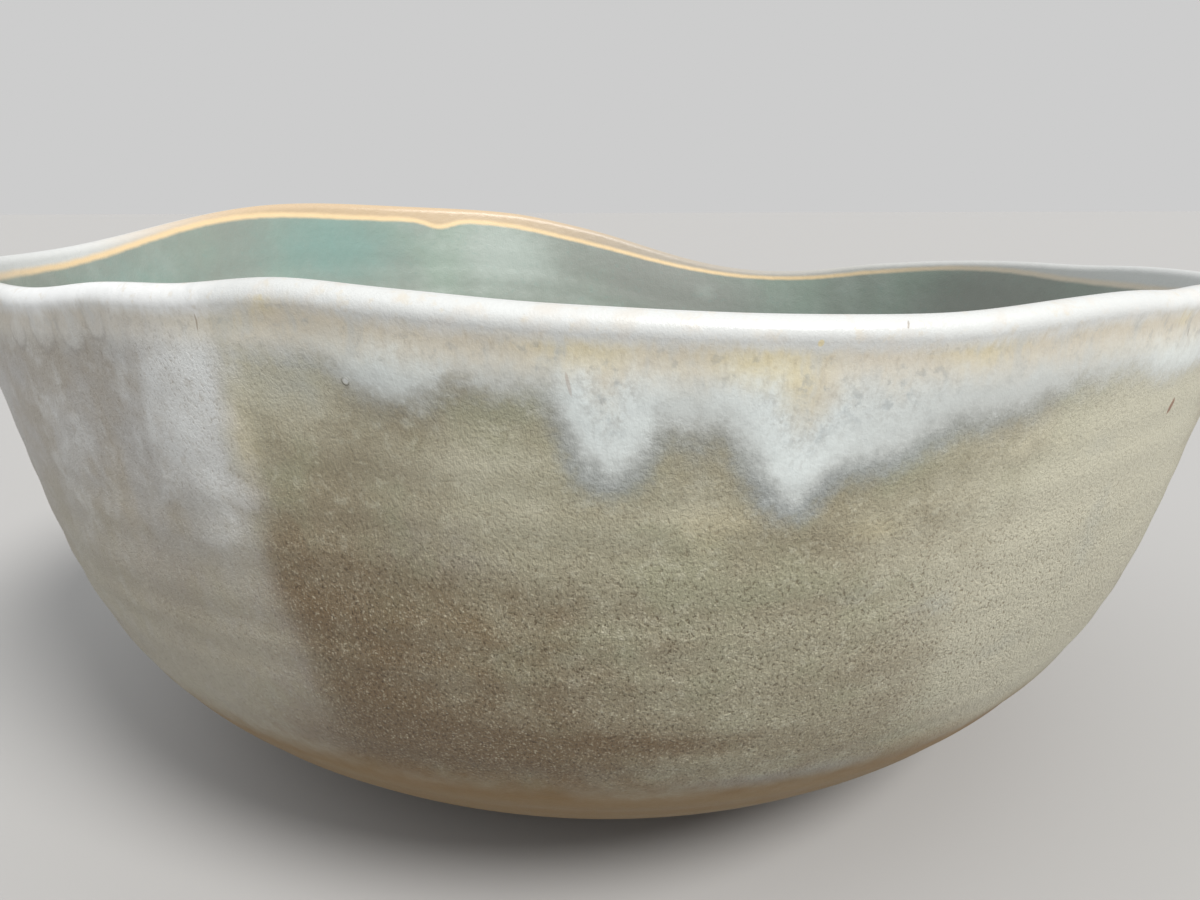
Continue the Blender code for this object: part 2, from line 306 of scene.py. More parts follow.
# Painted highlights on the bumps of the dip's orange peel
DIP_PAINTED_HIGHLIGHTS = (("speck", 0.56, 0.70, 0.30, DIP_PALE),)
FOOT_LAYERS = (("rings", 0.35, 0.75, 0.30, BODY_OLIVE),)
RUN_LAYERS = (
    ("grain", 0.54, 0.36, 0.40, RUN_GREY), ("fine_streak", 0.52, 0.34, 0.45, RUN_GREY),
    ("mottle", 0.48, 0.30, 0.45, RUN_EDGE),
)
VEIL_LAYERS = (
    ("warm", 0.05, 1.10, 1.00, HONEY, 0.30), ("streak", 0.50, 0.34, 0.60, RUN_GREY),
    ("mottle", 0.46, 0.32, 0.35, RUN_EDGE), ("fine_streak", 0.42, 0.28, 0.14, BROWN),
)
LIP_LAYERS = (
    ("blotch", 0.50, 0.70, 0.20, LIP_CREAM), ("pale", 0.30, 1.00, 1.00, LIP_BRIGHT, 0.35),
    ("mottle", 0.44, 0.30, 0.35, TAN_VEIL),
)
INSIDE_LAYERS = (
    ("broad", 0.35, 0.65, 0.70, INSIDE_GREY), ("cloud", 0.42, 0.72, 0.35, INSIDE_PALE),
    # The grey tint paints shade on the far right of the inside.
    ("grey", 0.00, 0.90, 1.00, INSIDE_GREY, 0.20), ("pale_inside", 0.00, 1.00, 1.00, INSIDE_PALE, 0.20),
    ("teal", 0.00, 1.00, 1.00, INSIDE_TEAL, 0.20), ("mottle", 0.44, 0.30, 0.20, INSIDE_TEAL),
    ("speck", 0.58, 0.70, 0.15, BODY_OLIVE),
)

# Noises that make the edges of the glazes ragged: (noise, millimetres either way at most)
DIP_RAGGED = (("cloud", 7.0), ("blotch", 3.5))
BARE_RAGGED = (("cloud", 4.0), ("blotch", 3.0))
RUN_RAGGED = (("blotch", 1.8), ("mottle", 1.6), ("grain", 0.8))
RUN_CLOUDS_RAGGED = (("mottle", 2.5), ("streak", 2.5))
VEIL_RAGGED = (("streak", 2.5), ("mottle", 2.0))
LIP_RAGGED = (("blotch", 1.2), ("fine_streak", 1.0))
BAND_RAGGED = (("blotch", 0.3),)

# Shares of one colour over another, at most
PAINTED_HIGHLIGHT_SHARE = 0.50
SPARK_SHARE = 0.50
BARE_SHARE = 0.85
WHITE_SHARE = 0.95
VEIL_SHARE = 0.85
VEIL_IN_RUN_SHARE = 0.90
HALO_SHARE = 0.85
HALO_FALL = 1.6             # power by which the halo fades away from the run
LIP_TAN_SHARE = 0.75
CREAM_TAN_SHARE = 0.60
CREAM_GREY_SHARE = 0.80
HONEY_SPOT_SHARE = 0.80
TONGUE_RIM_SHARE = 0.50
TONGUE_SHARE = 0.16

# Soft steps of one field, as (from, to) or as (from, to, result at from, result at to)
TINT_LIMIT = (0.02, 0.20)               # keeps a tint's noise within the tint
OUTSIDE = (-0.6, 0.2)                   # of the drop
# Steps of the speck noise for the painted shade in the pits and the painted highlights on the bumps
PITS = (0.45, 0.36)                     # of the speck noise
PAINTED_HIGHLIGHT_STEP = (0.55, 0.66)
PITTED_BODY = (0.45, 1.10, 0.25, 1.00)  # of the peel
PITTED_DIP = (10.0, 60.0, 0.45, 0.30)   # of the drop
SPARKLING = (0.60, 1.10, 0.10, 0.75)    # of the peel
SPARK_GROUPS = (0.38, 0.60, 0.25, 1.00)         # of the mottle
SPARKS_CHOSEN = (0.45, 0.75)            # of a number that each place draws: about half have a spark
SPARKS_ROUND = (0.42, 0.20)             # of the distance from the middle of a place
DIP_EDGE = (-5.0, 5.0)                  # of the distance from the dip's edge
DIP_END_DROPS = (DIP_FLOOR + 3.0, DIP_FLOOR - 4.0)
DIP_THINNING = (20.0, 58.0, 0.92, 0.55)         # of the drop
BARE_DROPS = (BARE_START - 6.0, BARE_START + 7.0)
HALO_EDGE = (-5.2, 0.4)                 # of the distance from the runs' edge
RUN_COVER = (-1.8, 2.8)
RUN_WHITE = (-0.8, 4.6)
RUN_CLOUDED = (3.0, 9.0, 0.15, 1.00)
RUN_ON_DIP = (-6.0, 6.0, 0.90, 0.50)    # of the distance from the dip's edge
VEIL_DROPS = (12.5, 6.0)
VEIL_IN_RUN = (7.0, 15.0)               # of the distance from the runs' edge
LIP_EDGE = (-1.4, 1.4)
HONEY_SPOTS = (0.75, 1.00)              # of the warm tint
HONEY_SPOT_DROPS = (6.5, 5.0)
LIP_WARMTH = (0.74, 0.94)
HONEY_LINE = (2.2, 0.8)                 # of the distance from the inner band's edge
HONEY_LINE_SIDE = (0.40, 0.75, 0.40, 1.00)      # of the lip's warmth
INNER_BAND_EDGE = (-0.6, 0.6)
CLAY_GRAIN = (0.42, 0.62)
ROUGHNESS = (0.20, 1.00, 0.34, 0.44)    # of the peel
GLOSS = (0.0, 1.0, 0.50, 0.15)          # of dryness
MARK_EDGE = (1.0, 0.4)
ROUGHNESS_SWING = 0.08
ROUGHNESS_DRY = 0.30        # added on bare clay
BARE_DRYNESS = 0.6          # how dry the foot band is, beside bare clay
GLASS_IOR = 1.5

# Single marks of the kiln and the hand, and a painted shadow below the pimple: (azimuth, drop, length, width,
# lean in degrees, colour, strength)
MARKS = (
    (-48.4, 21.0, 3.2, 1.7, 16.0, CHIP_RED, 0.90), (-112.6, 6.6, 2.6, 0.4, 2.0, BROWN, 0.50),
    (-91.6, 10.6, 3.6, 0.5, -14.0, CHIP_RED, 0.30), (-80.0, 4.7, 1.0, 0.9, 0.0, HONEY, 0.80),
    (-75.5, 2.4, 1.4, 0.35, 20.0, BROWN, 0.50), (-50.5, 8.2, 1.6, 0.5, 12.0, MARK_DARK, 0.50),
    # The two marks at -103.2 are the pimple's light dot and a painted shadow just below it.
    (-103.2, 13.2, 0.9, 0.9, 0.0, DIP_PALE, 0.45), (-103.2, 14.0, 0.5, 0.9, 0.0, MARK_DARK, 0.30),
)
MARK_DEPTH = 3.0            # how far a mark reaches through the surface, either way
NEARBY_DROP = 1.0           # distance to a second point that gives the direction up the wall
NEARBY_TURN = 0.01          # turn to the one that gives the direction around it, in radians
PIMPLE = (-103.2, 13.2, 1.3, 1.3)       # (azimuth, drop, length, width)
PIMPLE_HEIGHT = 0.4         # of the bump's distance
COARSE_PEEL_HEIGHT = 0.25
BUMP_DISTANCE = 0.52

# Soft lamps: (name, azimuth and height in degrees, strength, spread in degrees for soft shadows, colour)
LAMPS = (
    ("key", -48.0, 48.0, 3.85, 20.0, (1.0, 0.98, 0.95)),
    ("fill", -122.0, 58.0, 0.9, 60.0, (0.95, 0.98, 1.0)),
)
FLOOR_SIZE = 30.0           # metres
FLOOR_ROUGHNESS = 0.8

# Camera, found from the rim and the outline in the photograph, in millimetres and degrees
CAMERA_PLACE = (-0.5, -237.7, 128.1)
CAMERA_PITCH = 15.54
CAMERA_YAW = 0.08
CAMERA_ROLL = -0.16
CAMERA_NEAREST = 5.0
FOCAL_PIXELS = 881.3
PHOTO_WIDTH = 1200.0
SENSOR = 36.0


def heading(degrees):
    """Unit vector in the plane of the section (outwards, up), or in plan."""
    angle = math.radians(degrees)
    return np.array((math.cos(angle), math.sin(angle)))


def bezier(start, start_handle, end_handle, end, count):
    t = np.linspace(0.0, 1.0, count)[:, None]
    u = 1.0 - t
    return u ** 3 * start + 3 * u * u * t * start_handle + 3 * u * t * t * end_handle + t ** 3 * end


def level(start, end, height, count):
    """Points of the section on a level line."""
    return np.stack((np.linspace(start, end, count), np.full(count, height)), axis=1)


def smooth(value, low, high):
    """0 below low, 1 above high, with a soft change between."""
    t = np.clip((value - low) / (high - low), 0.0, 1.0)
    return t * t * (3.0 - 2.0 * t)


def wave(waves, azimuth):
    """Sum of waves, each as (lobes, height of a crest, azimuth of a crest in degrees)."""
    return sum(crest * np.cos(lobes * (azimuth - math.radians(at))) for lobes, crest, at in waves)


def wander(waves, azimuth):
    """Sum of waves, each as (lobes, height, phase in radians)."""
    return sum(high * np.cos(lobes * azimuth + phase) for lobes, high, phase in waves)


def turn_between(azimuth, degrees):
    """Signed angle in degrees from a named azimuth, the short way round."""
    return (np.degrees(azimuth) - degrees + 180.0) % 360.0 - 180.0


def bumps(azimuth, table):
    """Sum of soft bumps around the bowl, each as (azimuth, height, half width in degrees)."""
    return sum(high * np.exp(-(turn_between(azimuth, at) / half) ** 2) for at, high, half in table)


def spot(azimuth, drop, at, depth, width, height):
    """Soft round place on the wall, with its half widths in millimetres."""
    across = np.radians(turn_between(azimuth, at)) * RIM_RADIUS / width
    down = (drop - depth) / height
    return np.exp(-(across ** 2 + down ** 2))


def outer_wall(lip_centre, count):
    """Section of the outside, from the foot up to the lip."""
    foot = np.array((FOOT_RADIUS, FOOT_LIFT))
    lip = lip_centre + LIP_RADIUS * heading(RIM_SLOPE - 90.0)
    belly_handle = foot + BELLY_SWEEP * heading(BELLY_SLOPE)
    rim_handle = lip - RIM_SWEEP * heading(RIM_SLOPE)
    return bezier(foot, belly_handle, rim_handle, lip, count)


def inside_section(lip_centre):
    """Section of the inside, from the axis along the floor and up the wall to the lip."""
    base = outer_wall(lip_centre, INNER_POINTS)
    floor_height = RECESS_DEPTH + FLOOR_THICKNESS
    foot_thickness = (floor_height + KNEE_RISE - FOOT_LIFT) / math.cos(math.radians(BELLY_SLOPE))
    down = np.linspace(1.0, 0.0, INNER_POINTS)[:, None]
    thickness = 2 * LIP_RADIUS + (foot_thickness - 2 * LIP_RADIUS) * down ** 2
    inner = base + thickness * normals(base)

    drop = inner[0, 1] - floor_height
    upper_handle = inner[0] - heading(BELLY_SLOPE) * drop / math.sin(math.radians(BELLY_SLOPE))
    lower_handle = np.array((upper_handle[0] - 2 * drop, floor_height))
    floor_edge = np.array((lower_handle[0] - 4 * drop, floor_height))
    knee = bezier(floor_edge, lower_handle, upper_handle, inner[0], KNEE_POINTS)
    floor = level(AXIS_RADIUS, floor_edge[0], floor_height, FLOOR_POINTS)
    return np.concatenate((floor[:-1], knee[:-1], inner))


def underside_section():
    """Section from the foot's outer edge, without that point, under the ring to the axis."""
    foot = np.array((FOOT_RADIUS, FOOT_LIFT))
    ring_out = np.array((FOOT_RADIUS - FOOT_CHAMFER, 0.0))
    ring_in = ring_out - (FOOT_RING_WIDTH, 0.0)
    recess = ring_in + (-RECESS_DEPTH, RECESS_DEPTH)
    outer_handle, lower_handle = FOOT_EDGE_HANDLES
    edge = bezier(foot, foot + outer_handle, ring_out + lower_handle, ring_out, FOOT_EDGE_POINTS)
    centre = level(recess[0], AXIS_RADIUS, RECESS_DEPTH, RECESS_POINTS)
    return np.concatenate((edge[1:], ring_in + RING_EDGE, recess + RECESS_EDGE, centre[1:]))


def section():
    """Section of the thrown form, from the axis on the floor, over the lip, to the axis underneath.

    Returns the points, the drop of each below the crest along the surface (outside positive,
    inside negative), and the number of the first point below the foot's outer edge.
    """
    lip_centre = np.array((RIM_RADIUS - LIP_RADIUS, RIM_HEIGHT - LIP_RADIUS))
    inside = inside_section(lip_centre)
    turns = np.radians(90.0 + RIM_SLOPE - 180.0 * np.arange(1, LIP_POINTS) / LIP_POINTS)
    over_lip = lip_centre + LIP_RADIUS * np.stack((np.cos(turns), np.sin(turns)), axis=1)
    outer = outer_wall(lip_centre, OUTER_POINTS)
    points = np.concatenate((inside, over_lip, outer[::-1], underside_section()))

    steps = np.hypot(*np.diff(points, axis=0).T)
    length = np.concatenate(((0.0,), np.cumsum(steps)))
    crest = len(inside) + np.argmax(over_lip[:, 1])
    return points, length - length[crest], len(inside) + len(over_lip) + len(outer)


def normals(points):
    """Normals along a section, out of the clay where the section runs over the lip to the underside."""
    along = np.gradient(points, axis=0)
    along /= np.maximum(np.linalg.norm(along, axis=1), 1e-9)[:, None]
    return np.stack((-along[:, 1], along[:, 0]), axis=1)


def run_nearness(azimuth, run):
    """How near azimuths are to a run, from 0 to 1."""
    at, _, before, after, roundness = run[:5]
    away = turn_between(azimuth, at)
    away = np.abs(away) / np.where(away < 0, before, after)
    return np.exp(-RUN_SHARPNESS * away ** roundness)


def run_depth(azimuth):
    """How far below the crest the runny glaze reaches."""
    depth = RUN_DEPTH + wander(RUN_WANDER, azimuth)
    start = RUN_DEPTH - RUN_START
    for run in RUNS:
        depth = np.maximum(depth, start + (run[1] - start) * run_nearness(azimuth, run))
    return depth


def run_average(azimuth, column, least):
    """A column of the table of runs, blended between the runs that are near."""
    total, weights = 0.0, LEAST_WEIGHT
    for run in RUNS:
        weight = run_nearness(azimuth, run) ** 2 * run[1] ** 2
        total = total + run[column] * weight
        weights = weights + weight
    return np.clip(total / weights, least, 1.0)


def run_distance(azimuth, out):
    """Distance in millimetres from the lower edge of the runny glaze, positive in the glaze."""
    step = math.radians(RUN_SLANT_STEP)
    slope = (run_depth(azimuth + step) - run_depth(azimuth - step)) / (2 * step * RIM_RADIUS)
    return (run_depth(azimuth) - out) / np.sqrt(1 + RUN_SLANT * slope ** 2)


def relief(azimuth, drop):
    """How far the finished surface stands out from the thrown form, in millimetres."""
    outside = drop > 0
    out = np.abs(drop)
    worked = smooth(out, *THROWING_START) * (1 - smooth(out, *THROWING_END) * outside)
    spiral = 2 * np.pi * out / THROWING_PITCH + azimuth
    stray = THROWING_WANDER * np.sin(spiral * THROWING_WANDER_PACE + 2 * azimuth)
    swell = 1.0 + THROWING_SWELL * np.cos(2 * azimuth + out / THROWING_SWELL_DROP)
    height = np.sin(spiral + stray) * worked * swell * np.where(outside, THROWING_OUTSIDE, THROWING_INSIDE)
    for at, depth, push, width, tall in DENTS:
        dent = push * spot(azimuth, out, at, depth, width, tall) * smooth(out, *DENT_START)
        height = height + dent * np.where(outside, 1.0, -1.0)
    edge = run_distance(azimuth, out)
    height = height + GLAZE_THICKNESS * smooth(edge, *GLAZE_SHOULDER) * smooth(out, *GLAZE_THINNING) * outside
    around = LIP_GROOVE_EVEN + LIP_GROOVE_SWING * np.cos(azimuth - math.radians(LIP_GROOVE_DEEPEST))
    groove = np.exp(-((out - LIP_GROOVE_DROP) / LIP_GROOVE_HALF) ** 2) * outside * around
    return height - LIP_GROOVE * groove - LIP_EASE * np.exp(-(out / LIP_EASE_REACH) ** 2)


def altered(points, azimuth):
    """Places of section points at azimuths, after the wall was pushed into waves."""
    radius, height = points[..., 0], points[..., 1]
    climb = np.maximum(0.0, (height - WAVE_START) / (RIM_HEIGHT - WAVE_START))
    radius = radius * (1 + climb ** PLAN_FADE * wave(PLAN_WAVES, azimuth) / RIM_RADIUS)
    height = height + climb * wave(RISE_WAVES, azimuth)
    height = height + smooth(climb, *LIP_RISES_START) * bumps(azimuth, LIP_RISES)
    return np.stack((radius * np.cos(azimuth), radius * np.sin(azimuth), height), axis=-1)


def place(azimuth_degrees, drop):
    """A named place on the outside, in metres, with directions up the wall and around it."""
    points, drops, _ = section()
    azimuth = math.radians(azimuth_degrees)

    def at(depth, turn):
        here = np.array([np.interp(depth, drops, points[:, axis]) for axis in (0, 1)])
        return Vector(altered(here, np.array(turn))) * MM

    spot_at = at(drop, azimuth)
    up = (at(drop - NEARBY_DROP, azimuth) - spot_at).normalized()
    around = (at(drop, azimuth + NEARBY_TURN) - spot_at).normalized()
    return spot_at, up, around


def tint_field(table, azimuth, drop):
    """Sum of a table's tints on the side where this drop is positive."""
    total = sum(strength * spot(azimuth, drop, at, depth, width, tall)
                for at, depth, strength, width, tall in table)
    return np.where(drop > 0, total, 0.0)


def peel_field(azimuth, drop, in_dip):
    """How strongly the surface is like orange peel: least under thick glaze and on the foot band."""
    thick = smooth(run_distance(azimuth, drop), *PEEL_RUN_EDGE)
    dipped = smooth(in_dip, *PEEL_DIP_EDGE)
    low = smooth(drop, *PEEL_LOWERING)
    bare = smooth(drop, *PEEL_FOOT_DROPS)
    peel = (PEEL_ON_RUNS + (1 - PEEL_ON_RUNS) * (1 - thick)) * (1 - PEEL_LOST_ON_DIP * dipped)
    peel = peel * (PEEL_HIGH + (PEEL_LOW - PEEL_HIGH) * low) * (1 - PEEL_LOST_ON_FOOT * bare)
    return np.where(drop > 0, peel, PEEL_INSIDE)


def glaze_fields(azimuth, drop, foot_drop):
    """Fields that place the glazes on the mesh, by name."""
    around = np.radians(turn_between(azimuth, (DIP_START + DIP_END) / 2)) * RIM_RADIUS
    in_dip = math.radians(DIP_END - DIP_START) / 2 * RIM_RADIUS - np.abs(around)
    band = INNER_BAND + wander(INNER_BAND_WAVES, azimuth) + bumps(azimuth, INNER_BAND_DRIPS)
    fields = {
        "drop": drop,
        "run": run_distance(azimuth, np.abs(drop)),
        "run_white": run_average(azimuth, WHITENESS, RUN_WHITENESS),
        "halo": run_average(azimuth, HALO, 0.0),
        "lip_edge": LIP_REACH - bumps(azimuth, LIP_NOTCHES) - drop,
        "lip_tan": bumps(azimuth, LIP_TAN),
        "lip_warmth": 0.5 + 0.5 * np.cos(azimuth - math.radians(LIP_WARM_SIDE)),
        "dip": in_dip + DIP_SPREAD * smooth(drop, *DIP_SPREADING),
        "band": band + drop,
        "peel": peel_field(azimuth, drop, in_dip),
        "under": smooth(drop - foot_drop, *GLAZE_END),
    }
    for name, table in OUTSIDE_TINTS.items():
        fields[name] = tint_field(table, azimuth, drop)
    for name, table in INSIDE_TINTS.items():
        fields[name] = tint_field(table, azimuth, -drop)
    return fields


def turned_faces(rows):
    """Quads between the rows of a turned section, and a fan to the axis at each end of it."""
    row, step = np.meshgrid(np.arange(rows - 1), np.arange(STEPS), indexing="ij")
    after = (step + 1) % STEPS
    here = row * STEPS
    below = here + STEPS
    quads = np.stack((here + step, below + step, below + after, here + after), axis=-1)
    faces = quads.reshape(-1, 4).tolist()
    last = (rows - 1) * STEPS
    floor_centre = rows * STEPS
    under_centre = floor_centre + 1
    for index in range(STEPS):
        following = (index + 1) % STEPS
        faces.append((floor_centre, index, following))
        faces.append((under_centre, last + following, last + index))
    return faces


def bowl_mesh():
    """The dressed bowl: the section turned in fine steps, with relief and glaze fields."""
    points, drops, foot = section()
    azimuths = np.arange(STEPS) * 2 * math.pi / STEPS
    drop, azimuth = np.meshgrid(drops, azimuths, indexing="ij")
    finish = smooth(points[:, 0], 0.0, RELIEF_FADE)[:, None] * relief(azimuth, drop)
    finish[foot:] = 0.0
    moved = points[:, None, :] + finish[..., None] * normals(points)[:, None, :]
    rows = altered(moved, azimuth).reshape(-1, 3)
    centres = ((0.0, 0.0, points[0, 1]), (0.0, 0.0, points[-1, 1]))
    verts = np.concatenate((rows, centres)) * MM
    mesh = bpy.data.meshes.new("bowl_glazed")
    mesh.from_pydata(verts.tolist(), [], turned_faces(len(points)))
    for name, field in glaze_fields(azimuth, drop, drops[foot]).items():
        centre_values = (field[0].mean(), field[-1].mean())
        values = np.concatenate((field.reshape(-1), centre_values)).astype(np.float32)
        mesh.attributes.new(name, "FLOAT", "POINT").data.foreach_set("value", values)
    mesh.shade_smooth()
    return mesh


class Glaze:
    """One material, with short ways to add and link its nodes."""

    def __init__(self, name):
        self.material = bpy.data.materials.new(name)
        self.material.use_nodes = True
        self.tree = self.material.node_tree
        self.shader = self.tree.nodes["Principled BSDF"]
        self.place = self.add("ShaderNodeTexCoord").outputs["Object"]
        self.sources = {noise: self.noise(*sizes) for noise, sizes in NOISES.items()}

    def add(self, kind, **settings):
        node = self.tree.nodes.new(kind)
        for name, value in settings.items():
            setattr(node, name, value)
        return node

    def feed(self, socket, value):
        if isinstance(value, bpy.types.NodeSocket):
            self.tree.links.new(value, socket)
        elif isinstance(value, tuple) and len(value) == 3 and socket.type == "RGBA":
            socket.default_value = (*value, 1.0)
        else:
            socket.default_value = value

    def noise(self, size, detail, roughness, stretch):
        """Noise whose features are about this many millimetres across."""
        vector = self.place
        if stretch:
            mapping = self.add("ShaderNodeMapping")
            self.feed(mapping.inputs["Vector"], self.place)
            mapping.inputs["Scale"].default_value = stretch
            vector = mapping.outputs["Vector"]
        node = self.add("ShaderNodeTexNoise")
        self.feed(node.inputs["Vector"], vector)
        node.inputs["Scale"].default_value = 1.0 / (size * MM)
        node.inputs["Detail"].default_value = detail
        node.inputs["Roughness"].default_value = roughness
        return node.outputs["Fac"]

    def source(self, name):
        """The noise of this name, or else the field of this name on the mesh."""
        if name not in self.sources:
            self.sources[name] = self.add("ShaderNodeAttribute", attribute_name=name).outputs["Fac"]
        return self.sources[name]

    def math(self, operation, first, *others):
        for other in others:
            node = self.add("ShaderNodeMath", operation=operation)
            self.feed(node.inputs[0], first)
            self.feed(node.inputs[1], other)
            first = node.outputs[0]
        return first

    def plus(self, *terms):
        return self.math("ADD", *terms)

    def times(self, *factors):
        return self.math("MULTIPLY", *factors)

    def swing(self, name, amount):
        """Noise about zero, this many units either way at most."""
        return self.times(self.math("SUBTRACT", self.source(name), 0.5), 2 * amount)

    def ragged(self, name, swings):
        """A field of the mesh with noises added to it, each as (noise, amount)."""
        return self.plus(self.source(name), *(self.swing(noise, amount) for noise, amount in swings))

    def step(self, value, low, high, at_low=0.0, at_high=1.0):
        """Soft step of a value between two results."""
        node = self.add("ShaderNodeMapRange", interpolation_type="SMOOTHSTEP")
        self.feed(node.inputs["Value"], value)
        node.inputs["From Min"].default_value = low
        node.inputs["From Max"].default_value = high
        node.inputs["To Min"].default_value = at_low
        node.inputs["To Max"].default_value = at_high
        return node.outputs["Result"]

    def tint(self, name, low, high, amount):
        """Factor of a tint whose edge the blotches make ragged, by this much of its strength."""
        patchy = self.ragged(name, (("blotch", amount),))
        return self.times(self.step(patchy, low, high), self.step(self.source(name), *TINT_LIMIT))

    def mix(self, factor, first, second, blend="MIX"):
        """The second colour over the first."""
        node = self.add("ShaderNodeMix", data_type="RGBA", blend_type=blend)
        # Its names repeat for numbers, vectors and colours, so the sockets for colours go by number
        self.feed(node.inputs[0], factor)
        self.feed(node.inputs[6], first)
        self.feed(node.inputs[7], second)
        return node.outputs[2]

    def layered(self, colour, layers, within=1.0):
        """A colour with a table's layers over it, each only as strong as this factor lets it be."""
        for name, low, high, share, over, *amount in layers:
            if amount:
                cover = self.tint(name, low, high, *amount)
            else:
                cover = self.step(self.source(name), low, high)
            colour = self.mix(self.times(cover, share, within), colour, over)
        return colour

    def with_painted_pit_shade(self, colour, strength):
        """A colour with painted shade in the pits of its orange peel."""
        pits = self.step(self.source("speck"), *PITS)
        darker = self.mix(1.0, colour, PIT_SHADE, "MULTIPLY")
        return self.mix(self.times(pits, strength), colour, darker)

    def painted_glints(self):
        """Painted glints: small round light specks, in some of their places only."""
        node = self.add("ShaderNodeTexVoronoi", feature="F1")
        self.feed(node.inputs["Vector"], self.place)
        node.inputs["Scale"].default_value = 1.0 / (SPARKS_APART * MM)
        split = self.add("ShaderNodeSeparateColor")
        self.feed(split.inputs["Color"], node.outputs["Color"])
        chosen = self.step(split.outputs["Red"], *SPARKS_CHOSEN)
        return self.times(chosen, self.step(node.outputs["Distance"], *SPARKS_ROUND))

    def mark(self, azimuth, drop, length, width, lean=0.0, ragged=0.0):
        """Factor of a short stroke on the outside, with a length and width in millimetres."""
        centre, up, around = place(azimuth, drop)
        angle = math.radians(lean)
        along = up * math.cos(angle) + around * math.sin(angle)
        across = around * math.cos(angle) - up * math.sin(angle)
        through = along.cross(across)
        offset = self.add("ShaderNodeVectorMath", operation="SUBTRACT")
        self.feed(offset.inputs[0], self.place)
        offset.inputs[1].default_value = centre
        squares = []
        for direction, half in ((along, length / 2), (across, width / 2), (through, MARK_DEPTH)):
            dot = self.add("ShaderNodeVectorMath", operation="DOT_PRODUCT")
            self.feed(dot.inputs[0], offset.outputs[0])
            dot.inputs[1].default_value = direction / (half * MM)
            squares.append(self.times(dot.outputs["Value"], dot.outputs["Value"]))
        return self.step(self.plus(*squares, ragged), *MARK_EDGE)


def body_glaze(glaze):
    """Stony sage body, with the light and shade of its orange-peel surface painted in: painted highlights on
    the bumps, painted shade in the pits and painted glints.
    """
    peel = glaze.source("peel")
    body = glaze.layered(BODY_OLIVE, BODY_LAYERS)
    strength = glaze.step(peel, *PITTED_BODY)
    highlighted = glaze.mix(PAINTED_HIGHLIGHT_SHARE, body, PAINTED_PEEL_HIGHLIGHT)
    body = glaze.with_painted_pit_shade(body, strength)
    painted_highlights = glaze.step(glaze.source("speck"), *PAINTED_HIGHLIGHT_STEP)
    body = glaze.mix(glaze.times(painted_highlights, strength), body, highlighted)
    painted_glints = glaze.times(glaze.painted_glints(), glaze.step(peel, *SPARKLING),
                         glaze.step(glaze.source("mottle"), *SPARK_GROUPS))
    return glaze.mix(painted_glints, body, glaze.mix(SPARK_SHARE, body, SPARK))


def add_dip(glaze, wall, dip_edge):
    """Second dip of greyer glaze over one side."""
    drop = glaze.source("drop")
    dip = glaze.layered(DIP_GREY, DIP_LAYERS)
    # Painted shade in the pits and painted highlights on the bumps of its orange peel
    dip = glaze.with_painted_pit_shade(dip, glaze.step(drop, *PITTED_DIP))
    dip = glaze.layered(dip, DIP_PAINTED_HIGHLIGHTS)
    cover = glaze.times(glaze.step(dip_edge, *DIP_EDGE), glaze.step(drop, *DIP_END_DROPS),
                        glaze.step(drop, *DIP_THINNING))
    return glaze.mix(cover, wall, dip)


def add_foot_band(glaze, wall, bare):
    """Smooth tan band above the foot."""
    return glaze.mix(glaze.times(bare, BARE_SHARE), wall, glaze.layered(BARE_TAN, FOOT_LAYERS))


def add_runs(glaze, wall, dip_edge):
    """Runny white glaze: a blue-grey halo, a white lower edge, then a tan veil up to the lip."""
    edge = glaze.ragged("run", RUN_RAGGED)
    within = glaze.ragged("run", RUN_CLOUDS_RAGGED)
    white = glaze.times(glaze.step(edge, *RUN_WHITE), glaze.source("run_white"), WHITE_SHARE)
    runny = glaze.mix(white, RUN_GREY, WHITE_RUN)
    runny = glaze.layered(runny, RUN_LAYERS, glaze.step(within, *RUN_CLOUDED))

    veil_on_top = glaze.step(glaze.ragged("drop", VEIL_RAGGED), *VEIL_DROPS)
    veil_in_run = glaze.times(glaze.step(within, *VEIL_IN_RUN), VEIL_IN_RUN_SHARE)
    veil = glaze.times(glaze.math("MAXIMUM", veil_on_top, veil_in_run), VEIL_SHARE)
    runny = glaze.mix(veil, runny, glaze.layered(TAN_VEIL, VEIL_LAYERS))

    halo = glaze.math("POWER", glaze.step(edge, *HALO_EDGE), HALO_FALL)
    wall = glaze.mix(glaze.times(halo, glaze.source("halo"), HALO_SHARE), wall, RUN_EDGE)
    cover = glaze.times(glaze.step(edge, *RUN_COVER), glaze.step(dip_edge, *RUN_ON_DIP))
    return glaze.mix(cover, wall, runny)


def add_lip(glaze, wall):
    """White lip, with honey-coloured spots just below it."""
    lip = glaze.layered(LIP_WHITE, LIP_LAYERS)
    lip = glaze.mix(glaze.times(glaze.source("lip_tan"), LIP_TAN_SHARE), lip, DIP_WARM)
    edge = glaze.ragged("lip_edge", LIP_RAGGED)
    wall = glaze.mix(glaze.step(edge, *LIP_EDGE), wall, lip)
    spots = glaze.times(glaze.step(glaze.source("warm"), *HONEY_SPOTS),
                        glaze.step(glaze.source("drop"), *HONEY_SPOT_DROPS), HONEY_SPOT_SHARE)
    return glaze.mix(spots, wall, HONEY)


